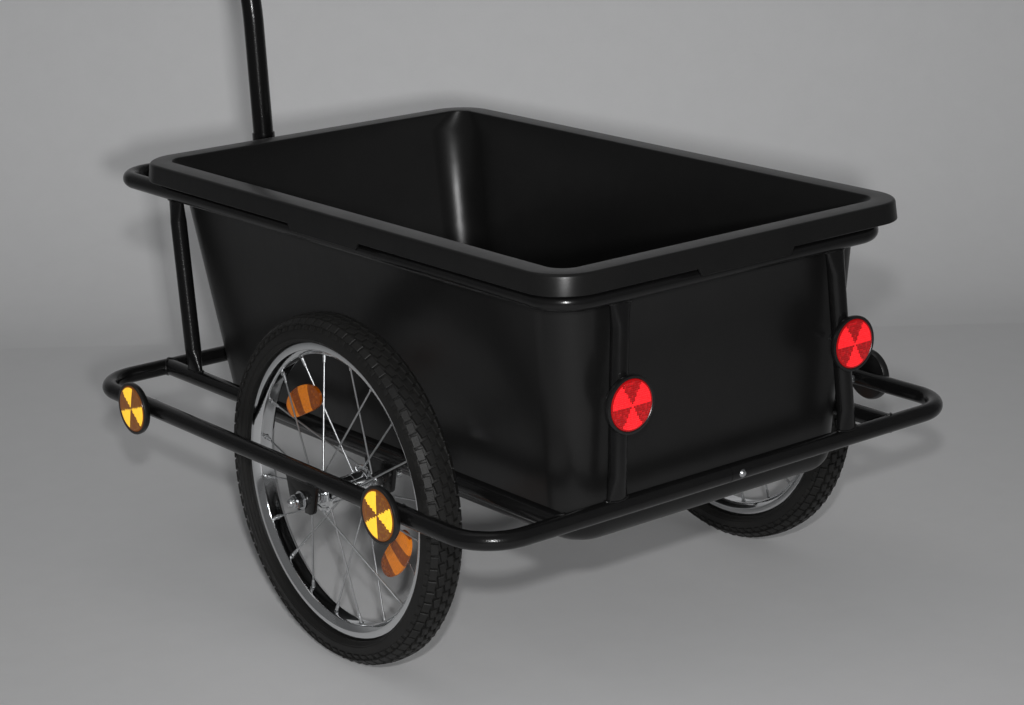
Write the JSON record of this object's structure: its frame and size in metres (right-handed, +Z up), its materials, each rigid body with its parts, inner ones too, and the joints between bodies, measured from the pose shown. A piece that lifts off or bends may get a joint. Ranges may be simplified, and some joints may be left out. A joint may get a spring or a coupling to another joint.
{
  "type": "cargo trailer",
  "caption": "Open plastic tub hung in a tubular steel frame on spoked wheels, with a lift-out bent drawbar and a swivelling seat post coupling, used as a bicycle trailer or a hand cart.",
  "frame": {"origin": "on the floor, below the middle of the overall length and on the trailer's middle plane", "axes": "+X forward along the trailer towards the coupling, +Y to the left, +Z up"},
  "size_m": [1.5074, 0.7022, 0.8415],
  "materials": {
    "black_paint": "glossy black enamel on steel tube",
    "zinc_steel": "bright zinc plate",
    "bright_chrome": "polished chrome plate",
    "tyre_rubber": "black tyre rubber with block tread",
    "black_rubber": "matt black rubber",
    "tub_plastic": "satin black moulded polyethylene",
    "black_plastic": "black moulded plastic",
    "red_lens": "red prism reflector",
    "amber_lens": "amber prism reflector",
    "alloy": "cast alloy"
  },
  "bodies": {
    "frame": {"lower_ring_left": "black_paint", "lower_ring_right": "black_paint", "ring_joint_sleeves": "zinc_steel", "ring_joint_bolts": "zinc_steel", "inner_rails": "black_paint", "upper_ring": "black_paint", "front_posts": "black_paint", "rear_posts": "black_paint", "axle_plates_left": "black_paint", "axle_plates_right": "black_paint", "axles": "zinc_steel", "axle_fittings": "zinc_steel", "rear_lenses_red": "red_lens", "side_lenses_amber": "amber_lens", "reflector_housings": "black_plastic", "reflector_fixings": "zinc_steel", "drawbar_socket": "black_paint", "socket_strut": "black_paint"},
    "tub": {"tub": "tub_plastic"},
    "wheel_left": {"tyre_left": "tyre_rubber", "rim_left": "bright_chrome", "hub_shell_left": "bright_chrome", "spokes_left": "zinc_steel", "nipples_left": "zinc_steel", "spoke_reflectors_left": "amber_lens", "valve_left": "black_rubber"},
    "wheel_right": {"tyre_right": "tyre_rubber", "rim_right": "bright_chrome", "hub_shell_right": "bright_chrome", "spokes_right": "zinc_steel", "nipples_right": "zinc_steel", "spoke_reflectors_right": "amber_lens", "valve_right": "black_rubber"},
    "drawbar": {"drawbar_tube": "black_paint", "handle_grip": "black_rubber", "coupling_fork": "black_paint", "pitch_pin": "zinc_steel"},
    "clamp_knob": {"clamp_knob": "black_plastic"},
    "swivel_block": {"swivel_block": "black_plastic"},
    "seat_clamp": {"seat_clamp_rear": "alloy", "seat_clamp_front": "alloy", "clamp_screws": "zinc_steel", "yaw_pin": "zinc_steel"}
  },
  "joints": [
    {"name": "wheel_left_spin", "type": "hinge", "parent": "frame", "child": "wheel_left", "pos_m": [-0.42895, 0.2805, 0.19], "axis": [0, 1, 0], "continuous": true},
    {"name": "wheel_right_spin", "type": "hinge", "parent": "frame", "child": "wheel_right", "pos_m": [-0.42895, -0.2805, 0.19], "axis": [0, 1, 0], "continuous": true},
    {"name": "tub_lift", "type": "slide", "parent": "frame", "child": "tub", "axis": [0, 0, 1], "range_m": [0, 0.35]},
    {"name": "drawbar_lift_out", "type": "slide", "parent": "frame", "child": "drawbar", "axis": [0.0633, 0, 0.998], "range_m": [0, 0.25]},
    {"name": "clamp_knob_turn", "type": "hinge", "parent": "frame", "child": "clamp_knob", "pos_m": [0.12364, 0, 0.33], "axis": [0.998, 0, -0.0633], "range_deg": [0, 720]},
    {"name": "coupling_pitch", "type": "hinge", "parent": "drawbar", "child": "swivel_block", "pos_m": [0.65985, 0, 0.82464], "axis": [0, 1, 0], "range_deg": [-25, 25]},
    {"name": "coupling_yaw", "type": "hinge", "parent": "swivel_block", "child": "seat_clamp", "pos_m": [0.69385, 0, 0.82464], "axis": [0, 0, 1], "range_deg": [-70, 70]}
  ]
}
